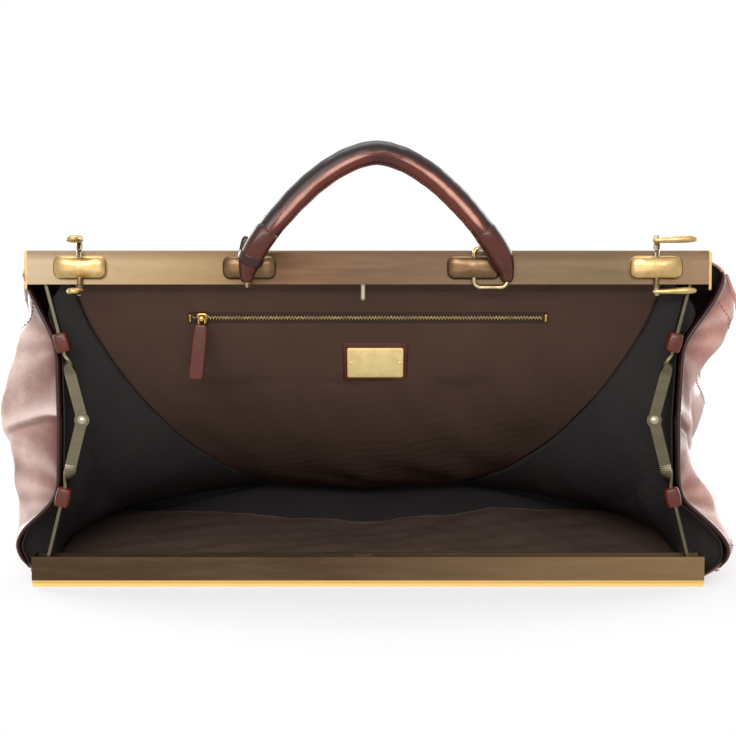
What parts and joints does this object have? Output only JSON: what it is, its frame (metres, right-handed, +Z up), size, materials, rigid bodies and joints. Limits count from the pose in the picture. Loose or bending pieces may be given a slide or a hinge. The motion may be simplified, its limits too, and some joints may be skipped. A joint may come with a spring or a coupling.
{
  "type": "leather travel bag",
  "caption": "Soft leather travel bag on a hinged metal mouth frame with folding arms, a rolled handle, turn clips and a lined zip pocket, lying open on its front wall.",
  "frame": {"origin": "on the resting face, under the middle of the front bar's depth and length", "axes": "+X along the frame bars, +Y from the mouth into the bag, +Z up from the resting face"},
  "size_m": [0.592, 0.3361, 0.3515],
  "materials": {
    "leather": "waxed pull-up leather, semi-gloss",
    "handle_leather": "burnished rolled leather, glossy",
    "lining": "dark cotton twill",
    "zip_tape": "woven tape",
    "bar_bronze": "brushed, darkened brass",
    "bar_brass": "brushed brass",
    "fitting_brass": "polished brass",
    "arm_steel": "brushed strip, light straw tint"
  },
  "bodies": {
    "bag": {"front_wall": "leather", "back_wall": "leather", "base_panel": "leather", "left_gusset": "leather", "right_gusset": "leather", "front_lining": "lining", "back_lining": "lining", "base_lining": "lining", "left_gusset_lining": "lining", "right_gusset_lining": "lining", "front_hem": "leather", "front_bar": "bar_bronze", "front_bar_ends": "bar_bronze", "front_clamp_strip": "bar_bronze", "front_strip_rivets": "arm_steel", "front_arm_pins": "arm_steel", "pin_socket": "bar_bronze"},
    "hem": {"back_hem": "leather"},
    "pocket": {"pocket_bag": "lining", "zip_tape": "zip_tape", "zip_teeth": "fitting_brass", "zip_stops": "fitting_brass", "label_surround": "handle_leather", "label_plate": "fitting_brass", "label_pins": "fitting_brass"},
    "slider": {"zip_slider": "fitting_brass"},
    "pull": {"pull_ring": "fitting_brass", "leather_pull": "handle_leather"},
    "left_low": {"left_lower_arm": "arm_steel", "left_knee_rivet": "arm_steel", "left_lower_loop": "handle_leather"},
    "left_high": {"left_upper_arm": "arm_steel", "left_upper_loop": "handle_leather"},
    "right_low": {"right_lower_arm": "arm_steel", "right_knee_rivet": "arm_steel", "right_lower_loop": "handle_leather"},
    "right_high": {"right_upper_arm": "arm_steel", "right_upper_loop": "handle_leather"},
    "jaw": {"back_bar": "bar_brass", "back_bar_ends": "bar_brass", "back_clamp_strip": "bar_brass", "back_strip_rivets": "arm_steel", "back_arm_pins": "arm_steel", "locating_pin": "fitting_brass", "left_clip_pad": "fitting_brass", "right_clip_pad": "fitting_brass", "left_handle_pad": "fitting_brass", "right_handle_pad": "fitting_brass"},
    "left_turn": {"left_clip": "fitting_brass"},
    "right_turn": {"right_clip": "fitting_brass"},
    "left_bail": {"left_ring": "fitting_brass", "left_end_loop": "handle_leather"},
    "right_bail": {"right_ring": "fitting_brass", "right_end_loop": "handle_leather"},
    "grip": {"handle_roll": "handle_leather"}
  },
  "joints": [
    {"name": "mouth_fold", "type": "hinge", "parent": "bag", "child": "left_low", "pos_m": [-0.258, -0.00135, 0.012], "axis": [0, 1, 0], "range_deg": [0, 69.92]},
    {"name": "left_knee", "type": "hinge", "parent": "left_low", "child": "left_high", "pos_m": [-0.2275, 0, 0.133], "axis": [0, 1, 0], "range_deg": [-139.86, 0]},
    {"name": "left_top_pin", "type": "hinge", "parent": "left_high", "child": "jaw", "pos_m": [-0.258, 0, 0.254], "axis": [0, 1, 0], "range_deg": [0, 69.93]},
    {"name": "right_low_pin", "type": "hinge", "parent": "bag", "child": "right_low", "pos_m": [0.258, -0.00135, 0.012], "axis": [0, 1, 0], "range_deg": [-69.93, 0]},
    {"name": "right_knee", "type": "hinge", "parent": "right_low", "child": "right_high", "pos_m": [0.2275, 0, 0.133], "axis": [0, 1, 0], "range_deg": [0, 139.86]},
    {"name": "hem_slide", "type": "slide", "parent": "bag", "child": "hem", "axis": [0, 0, -1], "range_m": [0, 0.2163]},
    {"name": "pocket_slide", "type": "slide", "parent": "bag", "child": "pocket", "axis": [0, 0, -1], "range_m": [0, 0.1401]},
    {"name": "zip_run", "type": "slide", "parent": "pocket", "child": "slider", "axis": [1, 0, 0], "range_m": [0, 0.268]},
    {"name": "pull_swing", "type": "hinge", "parent": "slider", "child": "pull", "pos_m": [-0.134, 0.0195, 0.21286], "axis": [0, 1, 0], "range_deg": [-40, 40]},
    {"name": "left_clip_turn", "type": "hinge", "parent": "jaw", "child": "left_turn", "pos_m": [-0.226, -0.0137, 0.241], "axis": [0, 0, 1], "range_deg": [-90, 0]},
    {"name": "right_clip_turn", "type": "hinge", "parent": "jaw", "child": "right_turn", "pos_m": [0.226, -0.0137, 0.241], "axis": [0, 0, 1], "range_deg": [-90, 0]},
    {"name": "left_ring_turn", "type": "hinge", "parent": "jaw", "child": "left_bail", "pos_m": [-0.093, -0.0137, 0.241], "axis": [0, 0, 1], "range_deg": [-5, 5]},
    {"name": "right_ring_turn", "type": "hinge", "parent": "jaw", "child": "right_bail", "pos_m": [0.083, -0.0137, 0.241], "axis": [0, 0, 1], "range_deg": [-6, 0]},
    {"name": "handle_swing", "type": "hinge", "parent": "jaw", "child": "grip", "pos_m": [0.092, -0.02525, 0.28], "axis": [0.9885, 0.1512, 0], "range_deg": [-80, 80]}
  ],
  "couplings": [
    {"joint": "left_knee", "follows": "mouth_fold", "ratio": -2},
    {"joint": "left_top_pin", "follows": "mouth_fold", "ratio": 1},
    {"joint": "right_low_pin", "follows": "mouth_fold", "ratio": -1},
    {"joint": "right_knee", "follows": "mouth_fold", "ratio": 2},
    {"joint": "hem_slide", "follows": "mouth_fold", "m_per_rad": 0.17717},
    {"joint": "pocket_slide", "follows": "mouth_fold", "m_per_rad": 0.11472}
  ]
}
